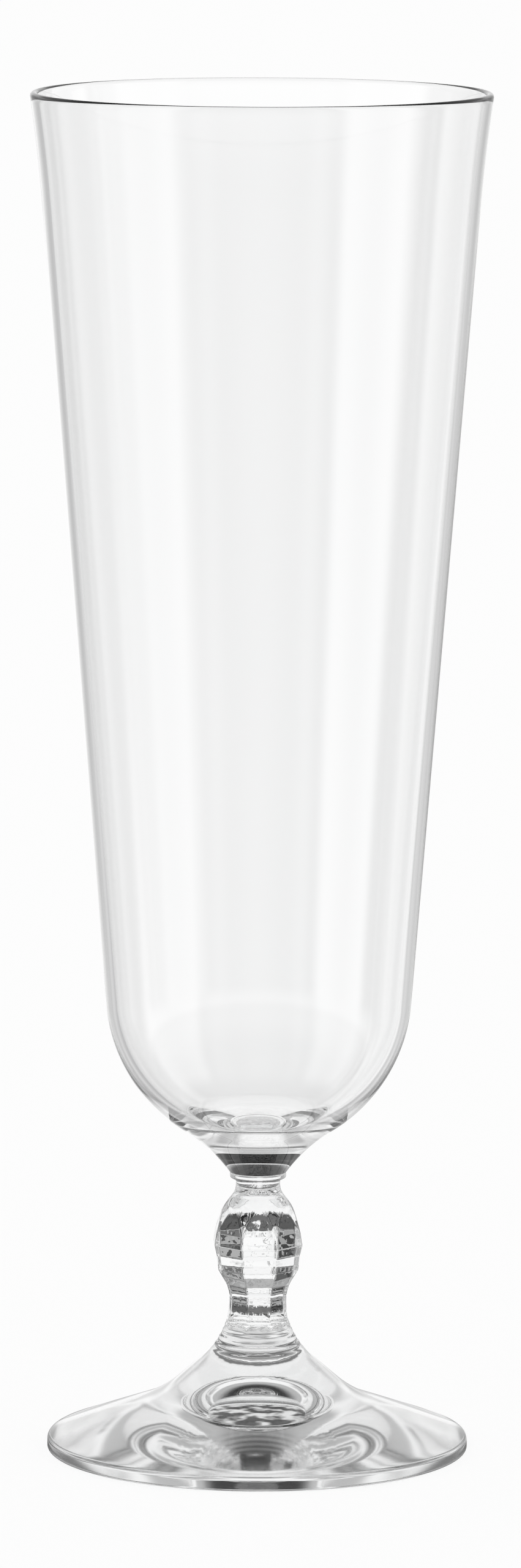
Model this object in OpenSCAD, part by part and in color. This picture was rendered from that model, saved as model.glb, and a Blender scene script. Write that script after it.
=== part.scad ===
// Footed pilsner glass, made as a glassmaker makes it: a blown bowl, a weld collar, a pressed
// stem with a faceted knop, and a pressed foot, fused end to end on one upright axis.
// The origin is on the table under the middle of the foot, +Z points up, and sizes are in mm.

/* [Bowl] */
// Outside diameter at the rim
rim_d = 75.3; // [66:0.1:90]
// How far the lip turns out beyond the line of the wall
lip_flare = 0.6; // [0.1:0.05:1]
// Height over which the lip turns out
lip_flare_h = 18; // [10:0.5:30]
// Thickness of the glass at the lip
lip_t = 1.3; // [1:0.1:2]
// Outside diameter where the straight wall ends and the base begins to round in
shoulder_d = 50.2; // [44:0.2:60]
// Height of the straight, tapered wall
wall_h = 149.6; // [100:0.2:190]
// Thickness of the glass at the shoulder
shoulder_t = 1.7; // [1.3:0.1:2.4]
// Diameter of the tail at its hollow sweep's upper end, where the rounded base begins
tail_top_d = 24.8; // [21:0.2:28]
// Diameter of the tail where it stands on the collar
tail_d = 9.5; // [8.6:0.1:11]
// Angle between the axis and the tail at the upper end of its sweep
tail_top_angle = 58; // [54:1:61]
// Angle between the axis and the tail at the collar
tail_angle = 36; // [31:1:40]
// How much tighter the inside of the rounded base curves than its outside
base_gain = 3; // [2.4:0.1:3.6]
// Solid glass between the flat floor inside the bowl and the collar
plug_h = 9.6; // [8:0.1:12]
// Rounding between that floor and the wall
floor_corner = 2; // [0.5:0.1:4]

/* [Collar] */
// Diameter of the weld collar
collar_d = 9.3; // [8.2:0.1:11]
// Height of the weld collar
collar_h = 1.1; // [0.9:0.1:2]
// Rounding of the collar's two edges
collar_round = 0.4; // [0.2:0.05:0.45]

/* [Stem] */
// Diameter of the neck at its waist
neck_d = 7.3; // [6.4:0.1:8]
// Diameter of the neck where it stands on the knop
neck_foot_d = 8.8; // [8.4:0.1:9.4]
// Height of the neck from the knop up to its waist
neck_waist_h = 2.1; // [1.6:0.1:3]
// Height of the neck from its waist up to the collar
neck_top_h = 0.9; // [0.6:0.1:1.2]
// Number of sides of the knop and the shaft
sides = 8; // [6:1:12]
// Widest size of the knop, across its flats
knop_af = 14.5; // [13:0.1:17]
// Height of the knop
knop_h = 14.3; // [12:0.1:17]
// Radius of the round shoulder that the knop's facets are cut into
crown_round = 17; // [16:0.5:22]
// Angle between the axis and the top of that shoulder
crown_angle = 40; // [36:1:44]
// Size of the shaft's waist, across its flats
waist_af = 9.3; // [8.2:0.1:9.3]
// Size of the shaft across its flats where it grows out of the flare
root_af = 10; // [9.5:0.1:10.6]
// Height of the shaft from the flare up to its waist
root_h = 3.6; // [2.8:0.1:5]
// Height of the shaft from its waist up to the knop
waist_h = 3; // [2.4:0.1:4]
// Diameter of the flare's top, a little proud of the shaft's flats
flare_top_d = 10.3; // [10.1:0.1:11]
// Angle between the axis and the flare at its top
flare_top_angle = 18; // [12:1:24]
// Radius of the flare's hollow sweep
flare_round = 14; // [11:0.5:17]
// Height of the fine moulding bead at the joint with the foot
bead_h = 0.4; // [0.2:0.05:0.8]
// How far that bead stands proud of the flare
bead_proud = 0.05; // [0.03:0.01:0.2]

/* [Foot] */
// Diameter of the foot
foot_d = 69.4; // [60:0.2:84]
// Diameter of the joint between the stem and the foot
joint_d = 22; // [20:0.1:23]
// Angle between the axis and the flare at the joint
flare_angle = 49; // [45:1:53]
// Diameter at which the flare and the foot's slope would meet
sweep_d = 33; // [32:0.1:38]
// Radius that blends the flare into the foot's slope
foot_sweep = 22; // [16:0.5:24]
// Slope of the foot's upper face
foot_slope = 20; // [17:0.5:23]
// Thickness of the foot at its edge
edge_t = 2.2; // [2:0.1:3]
// Rounding of the foot's upper edge
edge_round = 0.9; // [0.6:0.1:1.1]
// Rounding of the foot's lower edge
heel_round = 0.5; // [0.3:0.1:0.8]
// Width of the ring that the foot rests on
rest_w = 3.7; // [2:0.1:6]
// How far the underside rises from that ring to the domed hollow
lift_h = 0.6; // [0.3:0.1:1]
// Diameter of the domed hollow under the middle of the foot
hollow_d = 18.4; // [16:0.2:22]
// Height of the hollow's top above the table
hollow_h = 8; // [6:0.1:8.5]
// Rounding of the hollow's edge
hollow_edge = 1; // [0.5:0.1:2]

/* [Hidden] */
$fn = 144;

// Look of clear glass, a little greyer where it is solid
clear_glass = [0.93, 0.95, 0.96];
solid_glass = [0.85, 0.88, 0.90];
glass_alpha = 0.35;

// Straight steps that stand for each long or short curve of an outline
long_steps = 30;
short_steps = 12;

// Rings of the knop from its lower edge to its top, each as the share of the knop's height and
// the share of its widest size: a taper, an upright tier, a step, the equator and the shoulder
knop_ring_shares = [[0, 0.73], [0.165, 0.91], [0.33, 0.945], [0.45, 1], [0.6, 0.955], [1, 0.74]];

// The crown's facets cut the knop's corners: two rings of twice as many sides, in the same shares
crown_ring_shares = [[0, 1.58], [1, 0.675]];

rim_r = rim_d / 2;
lip_r = lip_t / 2;
shoulder_r = shoulder_d / 2;
tail_top_r = tail_top_d / 2;
tail_r = tail_d / 2;
collar_r = collar_d / 2;
neck_r = neck_d / 2;
neck_foot_r = neck_foot_d / 2;
knop_r = knop_af / 2;
waist_r = waist_af / 2;
root_r = root_af / 2;
flare_top_r = flare_top_d / 2;
joint_r = joint_d / 2;
sweep_r = sweep_d / 2;
foot_r = foot_d / 2;
rest_r = foot_r - heel_round - rest_w;
hollow_r = hollow_d / 2;

// The foot's slope and the flare are two lines that would meet at the sweep
sweep_z = edge_t + (foot_r - sweep_r) * tan(foot_slope);
joint_z = sweep_z + (sweep_r - joint_r) / tan(flare_angle);

// The flare runs straight up from the joint, then in a hollow sweep to its top
flare_r = flare_top_r + flare_round * (cos(flare_top_angle) - cos(flare_angle));
flare_z = joint_z + (joint_r - flare_r) / tan(flare_angle);
flare_top_z = flare_z + flare_round * (sin(flare_angle) - sin(flare_top_angle));

// Heights of the stem's other parts, one on the other
waist_z = flare_top_z + root_h;
knop_z = waist_z + waist_h;
neck_z = knop_z + knop_h;
collar_z = neck_z + neck_waist_h + neck_top_h;
bowl_z = collar_z + collar_h;

// Outside of the bowl: the tail's hollow sweep, the rounded base, the wall and the lip
wall_lean = atan((rim_r - lip_flare - shoulder_r) / wall_h);
lip_lean = wall_lean + atan(2 * lip_flare / lip_flare_h);
tail_sweep = (tail_top_r - tail_r) / (cos(tail_angle) - cos(tail_top_angle));
tail_top_z = bowl_z + tail_sweep * (sin(tail_top_angle) - sin(tail_angle));
base_round = (shoulder_r - tail_top_r) / (cos(wall_lean) - cos(tail_top_angle));
shoulder_z = tail_top_z + base_round * (sin(tail_top_angle) - sin(wall_lean));
rim_z = shoulder_z + wall_h;

// Inside of the bowl: a flat floor, a rounded corner and a base that runs tangent into the wall
inside_z = bowl_z + plug_h;
inside_r = shoulder_r - shoulder_t;
inside_lean = atan((rim_r - lip_flare - lip_t - inside_r) / wall_h);
inside_round = base_round - base_gain;

// Points of an arc in an outline, from angle a to angle b
function arc(centre, radius, a, b, steps) = [
    for (i = [0 : steps])
        let (angle = a + (b - a) * i / steps)
        centre + radius * [cos(angle), sin(angle)]
];

// Points of a wall's last stretch under the lip, which leaves its line in a parabola
function turned_out(top, lean) = [
    for (i = [0 : short_steps])
        let (share = i / short_steps)
        top - [(1 - share) * lip_flare_h * tan(lean) + (1 - share * share) * lip_flare,
            (1 - share) * lip_flare_h]
];

// Ring of the stem: a regular polygon with a flat towards -Y and its flats at half width half
function ring(z, half, count) = [
    for (i = [0 : count - 1])
        let (angle = -90 + (i + 1 / 2) * 360 / count)
        [half / cos(180 / count) * cos(angle), half / cos(180 / count) * sin(angle), z]
];

// Flat-sided solid through a list of rings of equal count
module loft(rings) {
    count = len(rings[0]);
    last = len(rings) - 1;
    polyhedron(
        points = [for (r = rings) each r],
        faces = concat(
            [[for (i = [0 : count - 1]) i]],
            [[for (i = [count - 1 : -1 : 0]) last * count + i]],
            [for (k = [0 : last - 1], i = [0 : count - 1])
                let (low = k * count, high = low + count, j = (i + 1) % count)
                [low + i, high + i, high + j, low + j]]
        )
    );
}

// Blown bowl: a tall tapered wall with a fire-polished lip, a rounded base and a solid tail
module bowl() {
    lip_centre = [rim_r - lip_r, rim_z - lip_r];
    wall_top = lip_centre + lip_r * [cos(lip_lean), -sin(lip_lean)];
    inner_top = lip_centre - lip_r * [cos(lip_lean), -sin(lip_lean)];
    sweep_centre = [tail_r + tail_sweep * cos(tail_angle), bowl_z - tail_sweep * sin(tail_angle)];
    base_centre = [shoulder_r - base_round * cos(wall_lean), shoulder_z + base_round * sin(wall_lean)];
    inside_centre = [
        inside_r - inside_round * cos(inside_lean),
        shoulder_z + inside_round * sin(inside_lean)
    ];
    corner_reach = inside_round - floor_corner;
    corner_angle = asin((inside_centre[1] - inside_z - floor_corner) / corner_reach);
    corner_centre = [inside_centre[0] + corner_reach * cos(corner_angle), inside_z + floor_corner];
    color(clear_glass, glass_alpha)
        rotate_extrude()
            polygon(concat(
                [[0, bowl_z]],
                arc(sweep_centre, tail_sweep, 180 - tail_angle, 180 - tail_top_angle, short_steps),
                arc(base_centre, base_round, -tail_top_angle, -wall_lean, long_steps),
                turned_out(wall_top, wall_lean),
                arc(lip_centre, lip_r, -lip_lean, 180 - lip_lean, short_steps),
                [for (i = [short_steps : -1 : 0]) turned_out(inner_top, inside_lean)[i]],
                arc(inside_centre, inside_round, -inside_lean, -corner_angle, long_steps),
                arc(corner_centre, floor_corner, -corner_angle, -90, short_steps),
                [[0, inside_z]]
            ));
}

// Collar of glass where the hot bowl was set on the stem
module collar() {
    low_centre = [collar_r - collar_round, collar_z + collar_round];
    high_centre = [collar_r - collar_round, bowl_z - collar_round];
    color(solid_glass, glass_alpha)
        rotate_extrude()
            polygon(concat(
                [[0, collar_z]],
                arc(low_centre, collar_round, -90, 0, short_steps),
                arc(high_centre, collar_round, 0, 90, short_steps),
                [[0, bowl_z]]
            ));
}

// Round neck between the knop and the collar, hollowed in to its waist
module neck() {
    dip = neck_foot_r - neck_r;
    neck_round = (neck_waist_h * neck_waist_h + dip * dip) / (2 * dip);
    waist_centre = [neck_r + neck_round, neck_z + neck_waist_h];
    rotate_extrude()
        polygon(concat(
            [[0, neck_z]],
            arc(waist_centre, neck_round, 180 + asin(neck_waist_h / neck_round),
                180 - asin(neck_top_h / neck_round), short_steps),
            [[0, collar_z]]
        ));
}

// Faceted knop: flats and crown facets cut into a round shoulder that stays between their tops
module knop() {
    round_centre = [
        neck_foot_r - crown_round * cos(crown_angle),
        neck_z - crown_round * sin(crown_angle)
    ];
    intersection() {
        loft([for (s = knop_ring_shares) ring(knop_z + s[0] * knop_h, s[1] * knop_r, sides)]);
        loft([for (s = crown_ring_shares) ring(knop_z + s[0] * knop_h, s[1] * knop_r, 2 * sides)]);
        rotate_extrude()
            polygon(concat(
                [[0, knop_z - knop_h], [round_centre[0] + crown_round, knop_z - knop_h]],
                arc(round_centre, crown_round, 0, crown_angle, long_steps),
                [[0, neck_z]]
            ));
    }
}

// Flat-sided shaft, hollowed in to its waist, with its root inside the flare
module shaft() {
    low_dip = root_r - waist_r;
    high_dip = knop_ring_shares[0][1] * knop_r - waist_r;
    low_round = (root_h * root_h + low_dip * low_dip) / (2 * low_dip);
    high_round = (waist_h * waist_h + high_dip * high_dip) / (2 * high_dip);
    low_arc = arc([waist_r + low_round, waist_z], low_round,
        180 + asin(root_h / low_round), 180, short_steps);
    high_arc = arc([waist_r + high_round, waist_z], high_round,
        180, 180 - asin(waist_h / high_round), short_steps);
    loft(concat(
        [ring(joint_z, root_r, sides)],
        [for (p = low_arc) ring(p[1], p[0], sides)],
        [for (i = [1 : short_steps]) ring(high_arc[i][1], high_arc[i][0], sides)]
    ));
}

// Round flare from the shaft down to the joint, with a fine bead left by the mould
module flare() {
    flare_centre = [
        flare_top_r + flare_round * cos(flare_top_angle),
        flare_top_z + flare_round * sin(flare_top_angle)
    ];
    bead_r = joint_r + bead_proud;
    bead_end_r = joint_r - bead_h * tan(flare_angle);
    rotate_extrude()
        polygon(concat(
            [[0, flare_top_z]],
            arc(flare_centre, flare_round, 180 + flare_top_angle, 180 + flare_angle, short_steps),
            [[bead_end_r, joint_z + bead_h], [bead_end_r + bead_proud, joint_z + bead_h]],
            [[bead_r, joint_z], [0, joint_z]]
        ));
}

// Pressed stem: the round neck, the faceted knop, the flat-sided shaft and the flare
module stem() {
    color(solid_glass, glass_alpha)
        union() {
            neck();
            knop();
            shaft();
            flare();
        }
}

// Pressed foot: a low cone with a rounded edge, which stands on a ring and is domed in underneath
module foot() {
    half_turn = (90 - flare_angle - foot_slope) / 2;
    tangent = foot_sweep * tan(half_turn);
    sweep_centre = [
        sweep_r - tangent * sin(flare_angle) + foot_sweep * cos(flare_angle),
        sweep_z + tangent * cos(flare_angle) + foot_sweep * sin(flare_angle)
    ];
    edge_drop = edge_round * tan((90 - foot_slope) / 2);
    edge_centre = [foot_r - edge_round, edge_t - edge_drop];
    heel_centre = [foot_r - heel_round, heel_round];
    hollow_rise = hollow_h - lift_h;
    hollow_round = (hollow_r * hollow_r + hollow_rise * hollow_rise) / (2 * hollow_rise);
    hollow_centre = [0, hollow_h - hollow_round];
    edge_reach = hollow_round + hollow_edge;
    hollow_angle = asin((lift_h + hollow_edge - hollow_centre[1]) / edge_reach);
    hollow_edge_centre = [edge_reach * cos(hollow_angle), lift_h + hollow_edge];
    color(clear_glass, glass_alpha)
        rotate_extrude()
            polygon(concat(
                [[0, joint_z], [joint_r, joint_z]],
                arc(sweep_centre, foot_sweep, 180 + flare_angle, 270 - foot_slope, short_steps),
                arc(edge_centre, edge_round, 90 - foot_slope, 0, short_steps),
                arc(heel_centre, heel_round, 0, -90, short_steps),
                [[rest_r, 0]],
                arc(hollow_edge_centre, hollow_edge, -90, hollow_angle - 180, short_steps),
                arc(hollow_centre, hollow_round, hollow_angle, 90, long_steps)
            ));
}

bowl();
collar();
stem();
foot();
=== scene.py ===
# %% [markdown]
# # A footed pilsner glass
# A tall, slightly tapered bowl stands on a short pressed stem with a faceted knop, and on a low
# conical foot. The glassmaker blows the bowl, presses the stem and the foot, and fuses them
# end to end while they are hot. This lesson builds each piece as a fine surface from an outline
# or a formula, makes it of clear glass, and sets it on a pale table under soft light.
#
# Outlines are in millimetres, as on a maker's drawing. Blender's scene is in metres, with +Z up
# and the origin on the table under the middle of the foot.

import bpy
import numpy as np
from mathutils import Matrix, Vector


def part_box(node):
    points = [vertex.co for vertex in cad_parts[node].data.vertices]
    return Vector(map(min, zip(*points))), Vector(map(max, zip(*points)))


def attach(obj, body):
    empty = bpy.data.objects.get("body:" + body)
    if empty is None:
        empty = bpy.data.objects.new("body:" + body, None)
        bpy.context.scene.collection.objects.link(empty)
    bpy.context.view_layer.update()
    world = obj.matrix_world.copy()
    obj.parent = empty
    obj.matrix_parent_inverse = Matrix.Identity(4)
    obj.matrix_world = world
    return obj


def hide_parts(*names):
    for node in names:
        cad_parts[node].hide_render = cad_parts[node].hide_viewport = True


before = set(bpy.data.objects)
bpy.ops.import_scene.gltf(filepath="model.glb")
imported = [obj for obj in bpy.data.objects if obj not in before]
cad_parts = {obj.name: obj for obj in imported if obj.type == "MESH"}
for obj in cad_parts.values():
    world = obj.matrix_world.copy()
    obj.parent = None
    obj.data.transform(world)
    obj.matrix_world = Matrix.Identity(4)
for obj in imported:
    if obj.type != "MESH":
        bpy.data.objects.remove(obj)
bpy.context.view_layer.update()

# %% [markdown]
# ## Arcs and outlines
# Almost every curve on pressed or blown glass is close to a circular arc, because the mould was
# turned on a lathe and because surface tension rounds hot glass. So an outline is a string of
# arcs and straight stretches in the plane of radius and height. They are sampled much finer than
# a solid model needs, because a clear piece shows every kink as a broken reflection.

# %% Outline helpers
MM = 0.001
same_place = 1e-6
long_arc, wide_arc, short_arc, edge_arc, bead_arc = 60, 40, 24, 16, 12


def cos(degrees):
    """Cosine of an angle in degrees."""
    return np.cos(np.radians(degrees))


def sin(degrees):
    """Sine of an angle in degrees."""
    return np.sin(np.radians(degrees))


def tan(degrees):
    """Tangent of an angle in degrees."""
    return np.tan(np.radians(degrees))


def arc(centre, radius, start, end, steps):
    """Points on a circle: the centre plus the radius times cosine and sine, from start to end."""
    angle = np.linspace(start, end, steps + 1)
    return np.stack([centre[0] + radius * cos(angle), centre[1] + radius * sin(angle)], axis=1)


def path(*stretches):
    """One outline from several stretches, without the points that two neighbours share."""
    points = np.vstack(stretches)
    kept = np.r_[True, np.linalg.norm(np.diff(points, axis=0), axis=1) > same_place]
    return points[kept]


quarter = arc([0, 0], 1, 0, 90, bead_arc)
print("a quarter circle runs from", quarter[0].round(3), "to", quarter[-1].round(3))

# %% [markdown]
# ## Where the pieces meet
# The heights of the joints and the greatest radii could be typed in again. They are read from
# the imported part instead, so the fine surfaces always land on the solids that they replace.


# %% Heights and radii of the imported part
def reach(node):
    """Lowest height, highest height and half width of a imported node, in millimetres."""
    low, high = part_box(node)
    return low.z / MM, high.z / MM, min(high.x - low.x, high.y - low.y) / 2 / MM


bowl_z, rim_z, rim_r = reach("bowl")
collar_z, _, collar_r = reach("collar")
joint_z, _, _ = reach("stem")
_, _, foot_r = reach("foot")
print(f"joint {joint_z:.2f}, collar {collar_z:.2f}, bowl {bowl_z:.2f}, rim {rim_z:.2f} mm")

# %% [markdown]
# ## From a grid to a closed piece
# A turned piece is its outline carried once around the axis, like clay on a wheel. The stem isn't
# turned, but it is woven the same way: rows of points go up it, and columns go around it. So one
# function makes every piece from a grid of radii and heights. Its first and last rows shrink to a
# point on the axis, which closes the piece.


# %% Points, faces and the unrolled map of a grid
def closed_grid(radius, height, around):
    """Points, faces and each face's row, for a tube whose ends close on the axis.

    Point (row, column) is radius times (cosine, sine) of around, at height. The first and last
    rows lie on the axis, so each of them is a single point."""
    rows, count = len(radius), len(around)
    radius = np.broadcast_to(radius, (rows, count)) * MM
    height = np.broadcast_to(height, (rows, count)) * MM
    grid = np.stack([radius * np.cos(around), radius * np.sin(around), height], axis=2)
    points = np.vstack([grid[:1, 0], grid[1:-1].reshape(-1, 3), grid[-1:, 0]])
    here = np.arange(count)
    after = (here + 1) % count
    low = 1 + np.arange(rows - 3)[:, None] * count
    high = low + count
    top = len(points) - 1
    low_fan = np.stack([0 * here, 1 + after, 1 + here], 1)
    quads = np.stack([low + here, low + after, high + after, high + here], 2).reshape(-1, 4)
    high_fan = np.stack([top - count + here, top - count + after, 0 * here + top], 1)
    middle_rows = np.repeat(np.arange(1, rows - 2), count)
    face_row = np.r_[np.zeros(count), middle_rows, np.full(count, rows - 2)]
    return points, low_fan.tolist() + quads.tolist() + high_fan.tolist(), face_row


def unrolled(face_row, rows, count):
    """Corners of every face on a flat map: share around the piece, and share along its rows."""
    across = np.tile(np.arange(count) / count, rows - 1)
    square = np.array([[0, 0], [1, 0], [1, 1], [0, 1]]) / [count, rows - 1]
    corners = np.stack([across, face_row / (rows - 1)], 1)[:, None] + square
    low_fan = corners[:count][:, [0, 2, 3]].reshape(-1, 2)
    high_fan = corners[-count:][:, [0, 1, 2]].reshape(-1, 2)
    return np.vstack([low_fan, corners[count:-count].reshape(-1, 2), high_fan])


bar_radius, bar_height = np.array([[0], [1], [1], [0]]), np.array([[0], [0], [1], [1]])
bar_points, bar_faces, _ = closed_grid(bar_radius, bar_height, np.arange(3) * 2 * np.pi / 3)
print("a three-sided bar has", len(bar_points), "points and", len(bar_faces), "faces")

# %% [markdown]
# ## Welds between the pieces
# Where two pieces are fused there is no surface inside the real glass, so light must pass
# straight on. Leaving those faces out would open the piece. So it stays closed, and the faces of
# a weld take a second material, which shows nothing.

# %% Weaving a grid into a mesh
sharp_angle = 40


def weave(name, radius, height, around, low_weld, high_weld):
    """Closed mesh from a grid of radii and heights.

    low_weld and high_weld count the rows of faces at either end that lie inside a weld."""
    rows, count = len(radius), len(around)
    points, faces, face_row = closed_grid(radius, height, around)
    welded = (face_row < low_weld) | (face_row >= rows - 1 - high_weld)
    flat_map = unrolled(face_row, rows, count).astype(np.float32)
    mesh = bpy.data.meshes.new(name)
    mesh.from_pydata(points, [], faces)
    mesh.polygons.foreach_set("material_index", welded.astype(np.int32))
    mesh.polygons.foreach_set("use_smooth", np.ones(len(faces), bool))
    mesh.uv_layers.new(name="UVMap").data.foreach_set("uv", flat_map.ravel())
    mesh.update()
    mesh.set_sharp_from_angle(angle=np.radians(sharp_angle))
    piece = bpy.data.objects.new(name, mesh)
    bpy.context.scene.collection.objects.link(piece)
    print(f"{name}: {len(points)} points, {sum(len(face) - 2 for face in faces)} triangles")
    return piece


def turn(name, outline, columns, low_weld=0, high_weld=0):
    """Turned piece: the outline's (radius, height) carried once around the axis."""
    around = np.radians(-90) + np.arange(columns) * 2 * np.pi / columns
    return weave(name, outline[:, :1], outline[:, 1:], around, low_weld, high_weld)


print("edges sharper than", sharp_angle, "degrees stay sharp")

# %% [markdown]
# ## The blown bowl: its main arcs
# The bowl is blown into a mould and cracked off, and a flame rounds its lip. Its wall is a
# straight cone, a little thicker towards the base. The base rounds in to a solid tail, whose
# hollow sweep ends on the collar. Each arc starts in the direction in which the last one ended,
# so only a few sizes have to be chosen, and the rest are worked out from them.

# %% Sizes of the bowl, in millimetres
lip_flare, lip_flare_h, lip_r = 0.6, 18.0, 0.65
shoulder_r, wall_h, shoulder_t = 25.1, 149.6, 1.7
tail_top_r, tail_r, tail_top_angle, tail_angle = 12.4, 4.75, 58, 36

wall_lean = np.degrees(np.arctan((rim_r - lip_flare - shoulder_r) / wall_h))
lip_lean = wall_lean + np.degrees(np.arctan(2 * lip_flare / lip_flare_h))
tail_sweep = (tail_top_r - tail_r) / (cos(tail_angle) - cos(tail_top_angle))
tail_top_z = bowl_z + tail_sweep * (sin(tail_top_angle) - sin(tail_angle))
base_round = (shoulder_r - tail_top_r) / (cos(wall_lean) - cos(tail_top_angle))
shoulder_z = tail_top_z + base_round * (sin(tail_top_angle) - sin(wall_lean))
sweep_centre = [tail_r + tail_sweep * cos(tail_angle), bowl_z - tail_sweep * sin(tail_angle)]
base_centre = [shoulder_r - base_round * cos(wall_lean), shoulder_z + base_round * sin(wall_lean)]
print(f"the wall leans {wall_lean:.2f} degrees, the shoulder is at {shoulder_z:.1f} mm")

# %% [markdown]
# ## The bowl's inside
# Inside, hot glass pools into a flat floor with a rounded corner, and the floor runs into the
# round bottom without an edge. The inside could be the outside moved in by a wall's thickness.
# It has arcs of its own instead, because blown glass is much thicker at the base than at the lip.

# %% Sizes of the bowl's inside
plug_h, base_gain, floor_corner = 9.6, 3.0, 2.0

inside_z = bowl_z + plug_h
inside_r = shoulder_r - shoulder_t
inside_lean = np.degrees(np.arctan((rim_r - lip_flare - 2 * lip_r - inside_r) / wall_h))
inside_round = base_round - base_gain
inside_centre = [inside_r - inside_round * cos(inside_lean), shoulder_z + inside_round * sin(inside_lean)]
corner_reach = inside_round - floor_corner
corner_angle = np.degrees(np.arcsin((inside_centre[1] - inside_z - floor_corner) / corner_reach))
corner_centre = [inside_centre[0] + corner_reach * cos(corner_angle), inside_z + floor_corner]
print(f"the inside starts at {inside_z:.1f} mm, its floor is {2 * corner_centre[0]:.1f} mm wide")

# %% [markdown]
# ## The bowl's lip
# A flame softens the cut edge until it is a small round bead. The last stretch of wall under it
# leaves the straight cone in a shallow parabola, which turns the lip out by half a millimetre.

# %% Lip and the stretch under it
lip_centre = np.array([rim_r - lip_r, rim_z - lip_r])
lip_side = lip_r * np.array([cos(lip_lean), -sin(lip_lean)])


def turned_out(top, lean):
    """Wall's last stretch under the lip: its radius leaves the wall's line as a parabola."""
    share = np.linspace(0, 1, short_arc + 1)
    radius = top[0] - (1 - share) * lip_flare_h * tan(lean) - (1 - share**2) * lip_flare
    return np.stack([radius, top[1] - (1 - share) * lip_flare_h], axis=1)


outer_top = turned_out(lip_centre + lip_side, wall_lean)
inner_top = turned_out(lip_centre - lip_side, inside_lean)
print(f"the wall under the lip is {outer_top[0, 0] - inner_top[0, 0]:.2f} mm thick")

# %% [markdown]
# ## The bowl as one outline
# One outline goes up the outside, over the lip and down the inside to the middle of the floor.
# Carried around the axis, it makes a closed wall of glass, which is what bends light. What it
# holds is a check of its size: thin discs between the outline's points are added up.

# %% The bowl, set on the collar
bowl_columns, collar_round = 320, 0.4

outside = path(
    arc(sweep_centre, tail_sweep, 180 - tail_angle, 180 - tail_top_angle, short_arc),
    arc(base_centre, base_round, -tail_top_angle, -wall_lean, long_arc),
    outer_top,
)
inside = path(
    inner_top[::-1],
    arc(inside_centre, inside_round, -inside_lean, -corner_angle, long_arc),
    arc(corner_centre, floor_corner, -corner_angle, -90, short_arc),
    [[0, inside_z]],
)
bowl_outline = path(
    [[0, bowl_z], [collar_r - collar_round, bowl_z]],
    outside,
    arc(lip_centre, lip_r, -lip_lean, 180 - lip_lean, short_arc),
    inside,
)
bowl = turn("blown_bowl", bowl_outline, bowl_columns, low_weld=1)
slices = (inside[1:, 0] ** 2 + inside[:-1, 0] ** 2) / 2 * -np.diff(inside[:, 1])
print(f"it holds {np.pi * slices.sum() / 1000:.0f} ml to the brim")

# %% [markdown]
# ## The weld collar
# Where the hot bowl is set on the stem, a little glass squeezes out and freezes as a low ring.
# It is a short cylinder with rounded edges, wider than the neck under it. Only the part of its
# two flat ends that meets other glass is welded, and the narrow rims outside that stay visible.

# %% Collar from the neck to the bowl
collar_columns, neck_top_r = 256, 3.77

collar_outline = path(
    [[0, collar_z], [neck_top_r, collar_z]],
    arc([collar_r - collar_round, collar_z + collar_round], collar_round, -90, 0, bead_arc),
    arc([collar_r - collar_round, bowl_z - collar_round], collar_round, 0, 90, bead_arc),
    [[0, bowl_z]],
)
collar = turn("weld_collar", collar_outline, collar_columns, low_weld=1, high_weld=1)
print(f"the collar is {2 * collar_r:.1f} mm wide and {bowl_z - collar_z:.1f} mm high")

# %% [markdown]
# ## The pressed stem: what decides its radius
# The stem is pressed in a metal mould, and the mould's flats cut it. Looking down the axis, a
# flat at distance d from the axis reaches radius d / cos(angle from the flat's middle). A solid
# cut by several flats has, in each direction, the least of those radii. A fire-polished edge
# isn't sharp, so a soft minimum takes its place: it rounds the edge over about a tenth of a
# millimetre. The same rule with the sign turned joins two solids in a soft maximum.

# %% Soft minimum, soft maximum and flats
least_cosine = 0.05


def soft_least(radii, softness):
    """Minus softness times the logarithm of the sum of exp(-radius / softness), over the list."""
    radii = np.stack(np.broadcast_arrays(*radii))
    least = radii.min(0)
    return least - softness * np.log(np.exp((least - radii) / softness).sum(0))


def soft_most(a, b, softness):
    """Greater of two radii, rounded where they cross: the soft minimum with both signs turned."""
    return -soft_least([-a, -b], softness)


def flats(half, around, count):
    """Radii of count flats at distance half, the first one towards -Y: half / cos(angle)."""
    middles = np.radians(-90) + np.arange(count) * 2 * np.pi / count
    turned = np.cos(around[None, :] - middles[:, None])
    return [half / np.maximum(row, least_cosine) for row in turned]


eighth = flats(np.array([[1.0]]), np.radians([-90, -67.5]), 8)
print("an eight-sided bar reaches", np.round(soft_least(eighth, 0.001), 3), "at a flat and a corner")

# %% [markdown]
# ## Heights of the stem's parts
# From the joint up, the stem has a hollow flare, an eight-sided shaft with a waist, the knop, and
# a round neck. Every height follows from the one below it.

# %% Sizes of the stem, in millimetres
flare_top_r, flare_top_angle, flare_round, flare_angle = 5.15, 18, 14, 49
joint_r, bead_h, bead_proud = 11.0, 0.5, 0.02
root_r, root_h, waist_r, waist_h = 5.0, 3.6, 4.65, 3.0
knop_r, knop_h, crown_round, crown_angle = 7.25, 14.3, 17, 40
neck_r, neck_foot_r, neck_waist_h = 3.65, 4.4, 2.1

flare_r = flare_top_r + flare_round * (cos(flare_top_angle) - cos(flare_angle))
flare_z = joint_z + (joint_r - flare_r) / tan(flare_angle)
flare_top_z = flare_z + flare_round * (sin(flare_angle) - sin(flare_top_angle))
waist_z = flare_top_z + root_h
knop_z = waist_z + waist_h
neck_z = knop_z + knop_h
print(f"ledge {flare_top_z:.1f}, waist {waist_z:.1f}, knop {knop_z:.1f} to {neck_z:.1f} mm")

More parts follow.
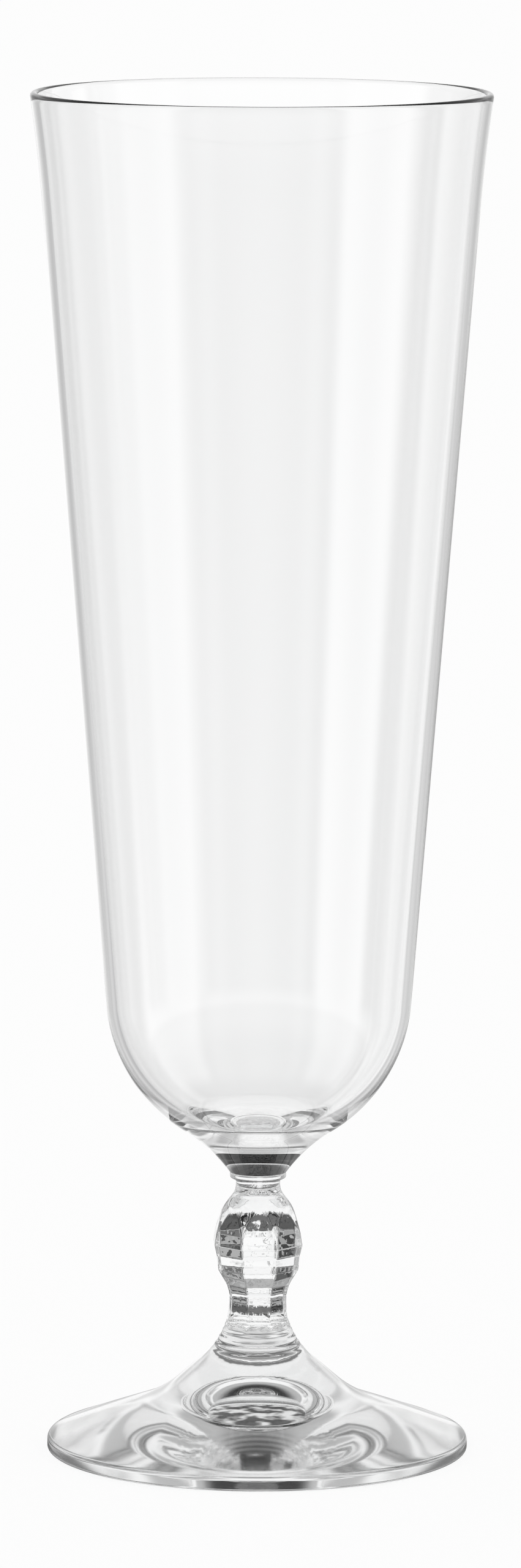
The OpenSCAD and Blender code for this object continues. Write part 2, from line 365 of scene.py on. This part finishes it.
# %% [markdown]
# ## The flare
# The flare widens down to the foot as a hollow arc and then a straight cone. The bead at the
# joint is the line where the mould's halves closed on the glass. Fine rings around the flare, a
# few hundredths of a millimetre high, are left by the turned mould, and they fade out at both
# ends. They could be a bump, but a real rise bends the light as rings do.

# %% Radius of the flare by height
ripple_rise, ripple_pitch = 0.04, 1.0
ripple_start, ripple_fade_in, ripple_fade_out = 2.6, 1.5, 0.5
ledge_steepness = 8


def hollow(height, middle, least, ends):
    """Half width of a part hollowed in by one arc: least at the middle, reaching ends = (rise, gain)."""
    rise, gain = ends
    radius = (rise**2 + gain**2) / (2 * gain)
    return least + radius - np.sqrt(np.maximum(radius**2 - (height - middle) ** 2, 0))


def ripples(z):
    """Rings of the mould: a sine of the height, faded in above the joint and out below the ledge."""
    wave = ripple_rise * np.sin(2 * np.pi * (z - joint_z) / ripple_pitch)
    fade_in = np.clip((z - joint_z - ripple_start) / ripple_fade_in, 0, 1)
    return wave * fade_in * np.clip((flare_top_z - z) / ripple_fade_out, 0, 1)


def flare_radius(z):
    """Straight cone up from the joint, then a hollow arc, then a quick drop above the ledge."""
    centre_r = flare_top_r + flare_round * cos(flare_top_angle)
    centre_z = flare_top_z + flare_round * sin(flare_top_angle)
    curved = centre_r - np.sqrt(np.maximum(flare_round**2 - (z - centre_z) ** 2, 0))
    straight = joint_r - (z - joint_z) * tan(flare_angle)
    bead = bead_proud * (1 + cos(180 * np.clip((z - joint_z) / bead_h, 0, 1))) / 2
    drop = ledge_steepness * np.maximum(z - flare_top_z, 0)
    return np.where(z < flare_z, straight + bead, curved) + ripples(z) - drop


flare_ends = flare_radius(np.array([joint_z, flare_top_z]))
print(f"flare from {flare_ends[0]:.2f} mm at the joint to {flare_ends[1]:.2f} mm at the ledge")

# %% [markdown]
# ## Shaft and knop
# Eight flats run up the whole shaft and knop at a distance that changes with height: two hollow
# arcs at the waist, and straight runs on the knop. The mould's corners between those runs aren't
# sharp, so the distance is blurred along the height by a narrow bell curve.

# %% Distance of the eight flats by height
knop_shares = np.array([[0, 0.73], [0.165, 0.91], [0.33, 0.945], [0.45, 1], [0.6, 0.955], [1, 0.74]])
blur_width, blur_steps, fine_steps = 0.07, 60, 6000


def flat_distance(z):
    """Distance of the eight flats from the axis: the root, the waist's two arcs, then the knop."""
    low = hollow(z, waist_z, waist_r, (root_h, root_r - waist_r))
    high = hollow(z, waist_z, waist_r, (waist_h, knop_shares[0, 1] * knop_r - waist_r))
    knop = knop_r * np.interp((z - knop_z) / knop_h, *knop_shares.T)
    return np.select([z < flare_top_z, z < waist_z, z < knop_z], [root_r, low, high], knop)


fine_z = np.linspace(joint_z, neck_z, fine_steps + 1)
steps_away = np.arange(-blur_steps, blur_steps + 1)
bell = np.exp(-0.5 * (steps_away * (fine_z[1] - fine_z[0]) / blur_width) ** 2)
padded = np.pad(flat_distance(fine_z), blur_steps, mode="edge")
fine_flats = np.convolve(padded, bell / bell.sum(), "valid")
print(f"flats from {fine_flats.min():.2f} mm at the waist to {fine_flats.max():.2f} mm at the knop")

# %% [markdown]
# ## Rows and columns of the stem
# A kink needs close rows and a smooth stretch doesn't. So the rows crowd together at the heights
# where the stem has an edge, and the columns crowd together at the corners of the flats and of
# the crown facets, at every thirty-second of a turn. That keeps the rounded edges smooth while
# the whole stem stays light.

# %% Grid of the stem
even_rows, edge_rows, edge_reach, least_gap = 200, 7, 0.15, 0.02
sectors, sector_columns = 32, 12

edges = np.r_[knop_z + knop_shares[:, 0] * knop_h, flare_top_z, joint_z + bead_h]
close = (edges[:, None] + np.linspace(-edge_reach, edge_reach, edge_rows)).ravel()
z = np.r_[np.linspace(joint_z, collar_z, even_rows), close]
z = np.unique(np.round(z[(z >= joint_z) & (z <= collar_z)], 3))
z = z[np.r_[True, np.diff(z) > least_gap]]
z[-1] = collar_z
z = z[:, None]

sector = (1 - np.cos(np.pi * np.arange(sector_columns) / sector_columns)) / 2
around = np.radians(-90 + (np.arange(sectors)[:, None] + sector).ravel() * 360 / sectors)
print(len(z), "rows and", len(around), "columns")

# %% [markdown]
# ## The stem as one surface
# Sixteen crown facets lean in over the knop's flats, and a round shoulder is left between their
# tops. The soft minimum of flats, facets and shoulder is the cut body, and the round neck stands
# on it. At the ledge a soft maximum joins the shaft to the flare.

# %% Stem from the joint to the collar
flat_count, crown_count = 8, 16
crown_foot_share, crown_top_share = 1.58, 0.675
edge_softness, ledge_softness, ledge_reach = 0.06, 0.02, 0.3

shoulder = neck_foot_r - crown_round * cos(crown_angle) + np.sqrt(
    crown_round**2 - np.maximum(z - neck_z + crown_round * sin(crown_angle), 0) ** 2
)
crown = knop_r * np.interp((z - knop_z) / knop_h, [0, 1], [crown_foot_share, crown_top_share])
knop_flats = flats(np.interp(z, fine_z, fine_flats), around, flat_count)
cut = soft_least(knop_flats + flats(crown, around, crown_count) + [shoulder], edge_softness)
neck = hollow(z, neck_z + neck_waist_h, neck_r, (neck_waist_h, neck_foot_r - neck_r))
body = np.where(z < neck_z, cut, neck)
joined = soft_most(flare_radius(z), body, ledge_softness)
radius = np.where(z < flare_top_z + ledge_reach, joined, body)
radius = np.vstack([0 * radius[:1], np.minimum(radius[:1], joint_r), radius, 0 * radius[:1]])
height = np.vstack([z[:1], z[:1], z, z[-1:]])
stem = weave("pressed_stem", radius, height, around, low_weld=1, high_weld=1)
print(f"top of the neck: radius {radius[-2].mean():.3f} mm, knop across flats {2 * knop_r} mm")

# %% [markdown]
# ## The pressed foot
# The foot is a low cone with a rounded edge, and its slope turns up into the flare in one hollow
# sweep. Underneath, it stands on a flat ring so that it can't rock. Inside the ring the underside
# is lifted a little, and in the middle it is pushed up into a dome, which shows through the glass
# as a dark rounded shape, because it bends a painted dark field on the table beneath.

# %% Outline of the foot
foot_columns = 320
sweep_r, foot_sweep, foot_slope = 16.5, 22, 20
edge_t, edge_round, heel_round, rest_w = 2.2, 0.9, 0.5, 3.7
lift_h, hollow_r, hollow_h, hollow_edge = 0.6, 9.2, 8.0, 1.0

sweep_z = edge_t + (foot_r - sweep_r) * tan(foot_slope)
tangent = foot_sweep * tan((90 - flare_angle - foot_slope) / 2)
foot_sweep_centre = [
    sweep_r - tangent * sin(flare_angle) + foot_sweep * cos(flare_angle),
    sweep_z + tangent * cos(flare_angle) + foot_sweep * sin(flare_angle),
]
edge_z = edge_t - edge_round * tan((90 - foot_slope) / 2)
hollow_rise = hollow_h - lift_h
hollow_round = (hollow_r**2 + hollow_rise**2) / (2 * hollow_rise)
hollow_reach = hollow_round + hollow_edge
hollow_angle = np.degrees(np.arcsin((lift_h + hollow_edge - hollow_h + hollow_round) / hollow_reach))
hollow_edge_centre = [hollow_reach * cos(hollow_angle), lift_h + hollow_edge]
foot_outline = path(
    arc([0, hollow_h - hollow_round], hollow_round, 90, hollow_angle, long_arc),
    arc(hollow_edge_centre, hollow_edge, hollow_angle - 180, -90, short_arc),
    [[foot_r - heel_round - rest_w, 0]],
    arc([foot_r - heel_round, heel_round], heel_round, -90, 0, bead_arc),
    arc([foot_r - edge_round, edge_z], edge_round, 0, 90 - foot_slope, edge_arc),
    arc(foot_sweep_centre, foot_sweep, 270 - foot_slope, 180 + flare_angle, wide_arc),
    [[joint_r, joint_z], [0, joint_z]],
)
foot = turn("pressed_foot", foot_outline, foot_columns, high_weld=1)
print(f"foot's slope meets the flare at {sweep_z:.2f} mm")

# %% [markdown]
# ## Clear glass
# Clear soda glass bends light by an index of about 1.52. Blown glass has long, faint waves that
# run up the wall, and pressed glass has a fine, orange-peel unevenness from the mould. Both are
# a few thousandths of a millimetre deep, so noise drives a very weak bump. It is stronger on the
# stem, whose facets would look like plane mirrors without it. A slight softness blurs what the
# thick pressed foot reflects inside itself. The tint moves between two nearly clear colours.

# %% A glass material
glass_index, tint_stops, noise_detail = 1.52, (0.35, 0.65), 2.0


def clear_glass(name, stretch, size, depth, softness, pale, deep):
    """Principled glass with noise in a faint tint and in a very weak bump, depth in millimetres."""
    made = bpy.data.materials.new(name)
    made.use_nodes = True
    tree = made.node_tree
    shader = tree.nodes["Principled BSDF"]
    shader.inputs["Transmission Weight"].default_value = 1.0
    shader.inputs["IOR"].default_value = glass_index
    shader.inputs["Roughness"].default_value = softness
    place = tree.nodes.new("ShaderNodeTexCoord")
    scale = tree.nodes.new("ShaderNodeMapping")
    scale.inputs["Scale"].default_value = stretch
    noise = tree.nodes.new("ShaderNodeTexNoise")
    noise.inputs["Scale"].default_value = size
    noise.inputs["Detail"].default_value = noise_detail
    tint = tree.nodes.new("ShaderNodeValToRGB")
    for stop, share, colour in zip(tint.color_ramp.elements, tint_stops, (pale, deep)):
        stop.position, stop.color = share, (*colour, 1)
    bump = tree.nodes.new("ShaderNodeBump")
    bump.inputs["Strength"].default_value = 1.0
    bump.inputs["Distance"].default_value = depth * MM
    tree.links.new(place.outputs["Object"], scale.inputs["Vector"])
    tree.links.new(scale.outputs["Vector"], noise.inputs["Vector"])
    tree.links.new(noise.outputs["Fac"], tint.inputs["Fac"])
    tree.links.new(tint.outputs["Color"], shader.inputs["Base Color"])
    tree.links.new(noise.outputs["Fac"], bump.inputs["Height"])
    tree.links.new(bump.outputs["Normal"], shader.inputs["Normal"])
    return made


blown_tints = {"pale": (0.998, 0.998, 0.998), "deep": (0.988, 0.99, 0.99)}
pressed_tints = {"pale": (0.993, 0.995, 0.995), "deep": (0.978, 0.984, 0.984)}
blown = clear_glass("blown_glass", (1, 1, 0.08), size=60, depth=0.004, softness=0.0, **blown_tints)
pressed = clear_glass("pressed_glass", (1, 1, 1), size=260, depth=0.002, softness=0.055, **pressed_tints)
uneven = clear_glass("uneven_glass", (1, 1, 1), size=420, depth=0.04, softness=0.015, **pressed_tints)
print("glasses:", blown.name, pressed.name, uneven.name)

# %% [markdown]
# ## Glass on the pieces
# Each piece takes its glass first and the weld second, which is the order that the faces were
# given. A weld shows nothing, so its material is fully see-through. Every piece rides on the
# part's only body, because a drinking glass has nothing that moves.

# %% Weld, glass and fit
weld = bpy.data.materials.new("weld")
weld.use_nodes = True
weld.node_tree.nodes["Principled BSDF"].inputs["Alpha"].default_value = 0.0

for piece, node, finish, slot in (
    (bowl, "bowl", blown, "blown_glass"),
    (collar, "collar", pressed, "pressed_glass"),
    (stem, "stem", uneven, "pressed_glass"),
    (foot, "foot", pressed, "pressed_glass"),
):
    piece.data.materials.append(finish)
    piece.data.materials.append(weld)
    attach(piece, "root")
    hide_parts(node)
print("glass on", [o.name for o in (bowl, collar, stem, foot)])

# %% [markdown]
# ## What the glass shows
# Glass has almost no look of its own: it shows what is around it. A photographer builds that out
# of windows, white screens and dark cards, which stay out of the picture. Here they are tones
# painted by formula on the surroundings and on the table, and only light that has met the glass
# sees them. The eye sees plain white, and so does the light that falls on the table. Real cards
# would have to stand a few centimetres from the glass and would show in the picture. All the
# tones are fixed in the room, so they keep their place when the camera moves. They are put
# together from a few small kinds of node.


# %% Small node helpers
def node_math(tree, operation, *values):
    """Math node on numbers or sockets; returns its output."""
    node = tree.nodes.new("ShaderNodeMath")
    node.operation = operation
    for socket, value in zip(node.inputs, values):
        if isinstance(value, (int, float)):
            socket.default_value = value
        else:
            tree.links.new(value, socket)
    return node.outputs[0]


def times(tree, first, *others):
    """Product of numbers or sockets."""
    for other in others:
        first = node_math(tree, "MULTIPLY", first, other)
    return first


def step_up(tree, value, low, high, first=0.0, last=1.0):
    """Smooth step of value between low and high, from first to last."""
    node = tree.nodes.new("ShaderNodeMapRange")
    node.interpolation_type = "SMOOTHSTEP"
    for key, number in (("From Min", low), ("From Max", high), ("To Min", first), ("To Max", last)):
        node.inputs[key].default_value = number
    tree.links.new(value, node.inputs["Value"])
    return node.outputs["Result"]


def step_down(tree, value, low, high):
    """Smooth step of value between low and high, from 1 to 0."""
    return step_up(tree, value, low, high, 1.0, 0.0)


def blend(tree, share, first, second):
    """First colour, or second where share is 1."""
    node = tree.nodes.new("ShaderNodeMix")
    node.data_type = "RGBA"
    for key, value in (("Factor", share), ("A", first), ("B", second)):
        if isinstance(value, tuple):
            node.inputs[key].default_value = value
        else:
            tree.links.new(value, node.inputs[key])
    return node.outputs["Result"]


def grey(tone):
    """Opaque grey of one tone."""
    return (tone, tone, tone, 1.0)


print("a dark card's grey is", grey(0.02))

# %% [markdown]
# ## Directions around the glass
# A place on the table, or a direction in the room, is given by its azimuth as a share of a turn
# and by its slope as seen from the knop. A quarter of a turn is straight behind the glass. Noise
# and cells drawn over those two numbers make specks and patches as wide and as high as wanted.

# %% Azimuth, slope and noise over them
behind_share, knop_eye = 0.25, 0.035


def directions(tree, vector, eye):
    """Share of a turn, slope, distance from the axis, height, and share away from behind.

    The share is the arc tangent of y over x, the distance is the root of x and y squared and
    added, and the slope is the height above eye over that distance."""
    split = tree.nodes.new("ShaderNodeSeparateXYZ")
    tree.links.new(vector, split.inputs[0])
    x, y, z = split.outputs
    turn_share = node_math(tree, "DIVIDE", node_math(tree, "ARCTAN2", y, x), 2 * np.pi)
    turn_share = node_math(tree, "WRAP", turn_share, 1.0, 0.0)
    across = node_math(tree, "SQRT", node_math(tree, "ADD", times(tree, x, x), times(tree, y, y)))
    slope = node_math(tree, "DIVIDE", node_math(tree, "SUBTRACT", z, eye), across)
    beside = node_math(tree, "ABSOLUTE", node_math(tree, "SUBTRACT", turn_share, behind_share))
    return turn_share, slope, across, z, beside


def flat_place(tree, first, second):
    """Vector whose first two parts are the given sockets, for a pattern over two numbers."""
    place = tree.nodes.new("ShaderNodeCombineXYZ")
    tree.links.new(first, place.inputs[0])
    tree.links.new(second, place.inputs[1])
    return place.outputs[0]


def noise_on(tree, vector, size=1.0, detail=1.0):
    """Soft noise from about 0.3 to 0.7 at a vector."""
    noise = tree.nodes.new("ShaderNodeTexNoise")
    noise.inputs["Scale"].default_value = size
    noise.inputs["Detail"].default_value = detail
    tree.links.new(vector, noise.inputs["Vector"])
    return noise.outputs["Fac"]


print("slopes on the table are seen from", round(knop_eye / MM), "mm above it")

# %% [markdown]
# ## Upright bands for what the bowl reflects
# Long upright reflections run up the bowl's wall: pale ones from windows and screens, grey ones
# from the gaps between them. As the wall is nearly upright, a reflection depends almost only on
# azimuth. So the bands are one ramp around the glass. Each stop is an azimuth in degrees and a
# tone, and the ramp eases from each to the next.

# %% Bands by azimuth
bands = [(0, 0.1), (4, 0.5), (9, 0.15), (14, 1), (30, 0.75), (46, 1), (51, 0.55), (58, 0.75)]
bands += [(64, 0.5), (74, 0.6), (80, 1), (100, 1), (106, 0.6), (116, 0.5), (122, 0.75), (129, 0.5)]
bands += [(150, 0.5), (168, 0.1), (177, 1), (200, 0.8), (218, 1), (226, 0.3), (236, 0.5), (248, 0.35)]
bands += [(270, 0.48), (290, 0.35), (297, 0.5), (306, 0.3), (315, 1), (330, 0.8), (346, 1), (353, 0.4)]


def upright_bands(tree, turn_share):
    """Tone of the bands by share of a turn, as an eased ramp over their stops."""
    node = tree.nodes.new("ShaderNodeValToRGB")
    tree.links.new(turn_share, node.inputs["Fac"])
    ramp = node.color_ramp
    ramp.interpolation = "EASE"
    for k, (degrees, tone) in enumerate(bands):
        stop = ramp.elements[k] if k < 2 else ramp.elements.new(degrees / 360)
        stop.position, stop.color = degrees / 360, grey(tone)
    return node.outputs["Color"]


print(len(bands), "stops around the glass")

# %% [markdown]
# ## Patches for what the stem bends
# The knop's facets bend the room into small pieces with hard edges, each with its own tone. Many
# real things could make them. Here they are the cells of a Voronoi pattern, far finer around the
# glass than up and down. Straight behind the glass a window stays bright, with a few dim specks,
# and the patches get darker to both sides of it.

# %% Patches by azimuth and slope
patch_columns, patch_rows, patch_dark, patch_low, patch_high = 320.0, 40.0, 0.04, 0.2, 0.7
side_start, side_end, side_tone = 0.02, 0.07, 0.4
window_start, window_end = 0.008, 0.014
speck_columns, speck_rows, speck_tone, speck_low, speck_high = 500.0, 60.0, 0.45, 0.38, 0.5


def patches(tree, turn_share, slope, beside):
    """Random tone of each cell, darker to the sides, or the speckled window where that is brighter."""
    cells = tree.nodes.new("ShaderNodeTexVoronoi")
    cells.voronoi_dimensions = "2D"
    cells.inputs["Scale"].default_value = 1.0
    cell_place = flat_place(tree, times(tree, turn_share, patch_columns), times(tree, slope, patch_rows))
    tree.links.new(cell_place, cells.inputs["Vector"])
    random = tree.nodes.new("ShaderNodeSeparateColor")
    tree.links.new(cells.outputs["Color"], random.inputs[0])
    tone = step_up(tree, random.outputs[0], patch_low, patch_high, patch_dark, 1.0)
    tone = times(tree, tone, step_up(tree, beside, side_start, side_end, 1.0, side_tone))
    speck_place = flat_place(tree, times(tree, turn_share, speck_columns), times(tree, slope, speck_rows))
    specks = step_up(tree, noise_on(tree, speck_place), speck_low, speck_high, speck_tone, 1.0)
    window = times(tree, step_down(tree, beside, window_start, window_end), specks)
    return node_math(tree, "MAXIMUM", tone, window)


print("a patch is", round(360 / patch_columns, 2), "degrees wide")

# %% [markdown]
# ## Which light sees what
# Blender counts how often a ray was reflected and how often it went through a surface. Light that
# was reflected at least once shows the bands. Light that went through one to three surfaces and
# wasn't reflected came through the stem or the foot, and shows the patches. Through the bowl's
# two walls it passes four surfaces, and so it shows plain white. Light that has already bounced
# off the table sees none of this. The counts are whole, so each test sits halfway between two.

# %% Shares of reflected and of bent light
half_count, over_three = 0.5, 3.5


def met_glass(tree):
    """1 for reflected light, 1 for light bent by the stem or the foot, and the Light Path node."""
    rays = tree.nodes.new("ShaderNodeLightPath")
    reflected = node_math(tree, "MINIMUM", rays.outputs["Glossy Depth"], 1.0)
    passed = rays.outputs["Transmission Depth"]
    some = node_math(tree, "GREATER_THAN", passed, half_count)
    few = node_math(tree, "LESS_THAN", passed, over_three)
    straight = node_math(tree, "LESS_THAN", reflected, half_count)
    unscattered = node_math(tree, "LESS_THAN", rays.outputs["Diffuse Depth"], half_count)
    bent = times(tree, some, few, straight)
    return times(tree, reflected, unscattered), times(tree, bent, unscattered), rays


print("light is told apart by Glossy, Transmission and Diffuse Depth")

# %% [markdown]
# ## A pale table
# The table is a very large, pale and matt plane, a hair below the foot, so that light leaving the
# foot's ring still meets it. Its own shader is plain. The tones for light that met the glass are
# painted reflections and painted shade, an emission mixed in only for that light. Seen from
# above, through the bowl's mouth, light crosses only one wall, so the count alone would show it
# the patches. The ray's length tells how high it started: its square less the square of the way
# along the table is the square of that height. That way is the distance from the axis less a
# usual start near the stem. Above about 90 mm the patches fade out.

# %% Table, and the light that shows its tones
table_tone, usual_start, low_square, high_square = 0.98, 0.015, 0.007, 0.010

table_mat = bpy.data.materials.new("pale_table")
table_mat.use_nodes = True
tree = table_mat.node_tree
pale = tree.nodes["Principled BSDF"]
pale.inputs["Base Color"].default_value = grey(table_tone)
pale.inputs["Roughness"].default_value = 1.0
pale.inputs["Specular IOR Level"].default_value = 0.0
place = tree.nodes.new("ShaderNodeTexCoord").outputs["Object"]
turn_share, slope, across, _, beside = directions(tree, place, knop_eye)
reflected, bent, rays = met_glass(tree)
length = rays.outputs["Ray Length"]
squares = node_math(tree, "SUBTRACT", times(tree, length, length), times(tree, across, across))
start_square = node_math(tree, "ADD", squares, times(tree, across, 2 * usual_start))
bent = times(tree, bent, step_down(tree, start_square, low_square, high_square))
print(f"patches fade for light from {low_square**0.5 / MM:.0f} to {high_square**0.5 / MM:.0f} mm up")

# %% [markdown]
# ## Tones near and far on the table
# The flare and the foot look steeply down at the table, so what they show depends on the distance
# from the axis. Close to the middle a cloudy dark field is painted, a painted shade seen in the
# dark shape over the foot's hollow. Around it the table is white, then a painted jagged dark ring
# gives the dark band under the knop's crown. The painted patches follow, and far off the table is
# pale again, and quite white straight behind the glass.

# %% Painted cloud, jagged ring and far field, in metres from the axis
cloud_size, cloud_low, cloud_high, cloud_dark, cloud_pale = 250.0, 0.42, 0.62, 0.1, 0.8
cloud_reach, cloud_end, white_reach, white_end = 0.014, 0.018, 0.055, 0.065
far_start, far_reach, far_tone, far_beside, far_side = 0.4, 0.6, 0.75, 0.04, 0.09
teeth_count, teeth_rows, teeth_depth = 500.0, 25.0, 0.06
ring_start, ring_in, ring_out, ring_end, ring_depth = 0.06, 0.065, 0.085, 0.09, 0.85


def between(tree, value, low, start, end, high):
    """1 where value lies between start and end, 0 below low and above high."""
    return times(tree, step_up(tree, value, low, start), step_down(tree, value, end, high))


# painted shade: a cloudy dark field on the table near the axis
fluff = noise_on(tree, place, cloud_size, 2.0)
cloud = step_up(tree, fluff, cloud_low, cloud_high, cloud_dark, cloud_pale)
near = node_math(tree, "MAXIMUM", cloud, step_up(tree, across, cloud_reach, cloud_end))
patch = patches(tree, turn_share, slope, beside)
patch = node_math(tree, "MAXIMUM", patch, step_down(tree, across, white_reach, white_end))
far = step_up(tree, beside, far_beside, far_side, 1.0, far_tone)
far = times(tree, far, step_up(tree, across, far_start, far_reach))
patch = node_math(tree, "MAXIMUM", patch, far)
# painted reflection: a jagged dark ring on the table around the stem
teeth_place = flat_place(tree, times(tree, beside, teeth_count), times(tree, across, teeth_rows))
teeth = noise_on(tree, teeth_place, 1.0, 2.0)
jag = node_math(tree, "MULTIPLY_ADD", teeth, teeth_depth, -teeth_depth / 2)
jagged = node_math(tree, "ADD", across, jag)
ring = between(tree, jagged, ring_start, ring_in, ring_out, ring_end)
kept_light = node_math(tree, "SUBTRACT", 1.0, times(tree, ring, ring_depth))
patch = times(tree, patch, kept_light)
print("the dark ring lies", round(ring_start / MM), "to", round(ring_end / MM), "mm from the axis")

# %% [markdown]
# ## Under the foot and in front of it
# Light reflected inside the foot looks at the table right below. Dark dashes painted there, drawn
# out around the axis, are painted reflections that make the fine lines of the foot's middle. Under
# the foot's rim a painted shadow darkens the table, and a dark patch painted in front of it, a
# painted shade in place of a card, darkens the front edge.

# %% Painted dashes, painted contact shadow and painted shade in front
dash_rows, dash_turns, dash_low, dash_high, dash_tone, dash_pale = 450.0, 3.0, 0.4, 0.6, 0.25, 0.95
dash_end, dash_fade, dash_open, foot_end, open_start = 0.016, 0.004, 0.9, 0.036, 0.04
painted_shadow_places, painted_shadow_tone = (0.033, 0.0338, 0.036, 0.037), 0.2
painted_shade_places, painted_shade_back, painted_shade_front = (0.029, 0.032, 0.05, 0.07), 0.0, -0.012
painted_shade_depth, painted_shade_tone = 0.9, 0.02

split = tree.nodes.new("ShaderNodeSeparateXYZ")
tree.links.new(place, split.inputs[0])
azimuth = node_math(tree, "ARCTAN2", split.outputs[1], split.outputs[0])
# painted reflections: dark dashes on the table under the foot
dash_place = flat_place(tree, times(tree, across, dash_rows), times(tree, azimuth, dash_turns))
dash = step_up(tree, noise_on(tree, dash_place), dash_low, dash_high, dash_tone, dash_pale)
dash_over = step_up(tree, across, dash_end, dash_end + dash_fade, 0.0, dash_open)
dash = node_math(tree, "MAXIMUM", dash, dash_over)
# painted shadow on the table under the foot's rim
painted_shadow = between(tree, across, *painted_shadow_places)
# painted shade on the table in front of the foot, a dark patch in place of a card
in_front = step_down(tree, split.outputs[1], painted_shade_front, painted_shade_back)
painted_shade = times(tree, in_front, between(tree, across, *painted_shade_places), painted_shade_depth)
print("the card reaches", round(painted_shade_places[-1] / MM), "mm in front of the axis")

# %% [markdown]
# ## Mixing the table's tones
# The painted tones lie over each other like sheets of paper: the bands, the dashes under the foot,
# the patches for bent light, then the painted shade in front, and the painted shadow on top. They
# glow with that strength as painted reflections and shade, and the glow takes the place of the
# plain table only for light that met the glass.

# %% Mixing the table's tones
soft = blend(tree, step_up(tree, across, foot_end, open_start), dash, upright_bands(tree, turn_share))
level = blend(tree, bent, soft, times(tree, near, patch))
# painted shade in front, then the painted shadow under the rim
level = blend(tree, painted_shade, level, grey(painted_shade_tone))
level = blend(tree, painted_shadow, level, grey(painted_shadow_tone))
# the table glows with painted reflections and painted shade, for light that met the glass
glow = tree.nodes.new("ShaderNodeEmission")
mix = tree.nodes.new("ShaderNodeMixShader")
tree.links.new(level, glow.inputs["Color"])
tree.links.new(node_math(tree, "ADD", reflected, bent), mix.inputs["Fac"])
tree.links.new(pale.outputs[0], mix.inputs[1])
tree.links.new(glow.outputs[0], mix.inputs[2])
tree.links.new(mix.outputs[0], tree.nodes["Material Output"].inputs["Surface"])
print("table material:", len(tree.nodes), "nodes")

# %% [markdown]
# ## The table itself
# A table a few metres wide would show its edge through the glass. So it is one large square,
# and its far edge lies near the horizon, where table and surroundings are equally white.

# %% The table itself
half_w, hair = 20.0, 0.1

corners = half_w * np.array([[-1, -1, 0], [1, -1, 0], [1, 1, 0], [-1, 1, 0]])
table_mesh = bpy.data.meshes.new("table")
table_mesh.from_pydata(corners, [], [(0, 1, 2, 3)])
table = bpy.data.objects.new("table", table_mesh)
table.location.z = -hair * MM
table_mesh.materials.append(table_mat)
bpy.context.scene.collection.objects.link(table)
print("table", 2 * half_w, "m wide")

# %% [markdown]
# ## The studio around it
# A photographer shoots clear glass against a bright field and keeps the room above dark, so that
# the lip, the knop and the foot get dark lines. So the surroundings are white near the horizon,
# grey from about 15 degrees up and dark overhead, for every ray that comes from the glass. The
# bands reach a little above the horizon, and the patches about 30 degrees up. Rays that light the
# table see an even white sky, which gives the soft light. The eye sees plain white behind the
# table. All this could be done with lamps and cards, but on glass they would leave hard spots.

# %% World, by the rise of a direction
bands_low, bands_high, patches_low, patches_high = 0.05, 0.25, 0.3, 0.6
dusk_low, dusk_high, dusk_tone = 0.24, 0.34, 0.5
night_low, night_high, night_tone = 0.45, 0.8, 0.03
white = grey(1.0)

world = bpy.data.worlds.new("studio")
bpy.context.scene.world = world
world.use_nodes = True
world.cycles.sampling_method = "NONE"
tree = world.node_tree
place = tree.nodes.new("ShaderNodeTexCoord").outputs["Generated"]
turn_share, slope, _, rise, beside = directions(tree, place, 0.0)
reflected, bent, rays = met_glass(tree)
low_wall = times(tree, reflected, step_down(tree, rise, bands_low, bands_high))
high_wall = times(tree, bent, step_down(tree, rise, patches_low, patches_high))
banded = blend(tree, low_wall, white, upright_bands(tree, turn_share))
walls = blend(tree, high_wall, banded, patches(tree, turn_share, slope, beside))
room = blend(tree, step_up(tree, rise, dusk_low, dusk_high, 1.0, dusk_tone), grey(0.0), walls)
room = blend(tree, step_up(tree, rise, night_low, night_high), room, grey(night_tone))
plain = node_math(tree, "MAXIMUM", rays.outputs["Is Camera Ray"], rays.outputs["Diffuse Depth"])
tree.links.new(blend(tree, plain, room, white), tree.nodes["Background"].inputs["Color"])
print("world nodes:", len(tree.nodes))

# %% [markdown]
# ## The camera
# The photo's outline was solved for its camera. It stands 1.47 m away at a height of 0.32 m,
# looks down by about 8 degrees, and sees the knop's front flat turned 2.5 degrees to the right.
# Its three axes are worked out from those angles, and they are the columns of its turning matrix.

# %% Camera at the photo's place
distance, camera_height, pitch, turned, roll, aside = 1.469, 0.319, 8.07, 2.5, 0.215, 0.0066
film_h, focal_pixels, photo_pixels, view_end = 36, 14793, 2560, 100

camera = bpy.data.objects.new("camera", bpy.data.cameras.new("camera"))
camera.data.sensor_fit = "VERTICAL"
camera.data.sensor_height = film_h
camera.data.lens = film_h * focal_pixels / photo_pixels
camera.data.clip_end = view_end
camera.location = (-distance * sin(turned), -distance * cos(turned), camera_height)
heading = turned + aside
ahead = np.array([sin(heading) * cos(pitch), cos(heading) * cos(pitch), -sin(pitch)])
level_right = np.array([cos(heading), -sin(heading), 0])
level_up = np.cross(level_right, ahead)
right = level_right * cos(roll) + level_up * sin(roll)
up = level_up * cos(roll) - level_right * sin(roll)
camera.rotation_euler = Matrix(np.stack([right, up, -ahead], axis=1).tolist()).to_euler()
bpy.context.scene.collection.objects.link(camera)
bpy.context.scene.camera = camera
print(f"lens {camera.data.lens:.1f} mm at {tuple(round(v, 3) for v in camera.location)}")

# %% [markdown]
# ## Enough bounces for thick glass
# Light can be caught inside a thick foot for many reflections before it gets out. Where Blender
# gives up too early, the glass turns black, so the limits are well above its usual ones.

# %% Colours as written, and long light paths
most_bounces, most_glossy = 32, 16

scene = bpy.context.scene
scene.view_settings.view_transform = "Standard"
scene.cycles.blur_glossy = 0.0
scene.cycles.max_bounces = most_bounces
scene.cycles.transmission_bounces = most_bounces
scene.cycles.glossy_bounces = most_glossy
scene.cycles.transparent_max_bounces = most_bounces
print("up to", scene.cycles.max_bounces, "bounces,", scene.cycles.glossy_bounces, "of them glossy")
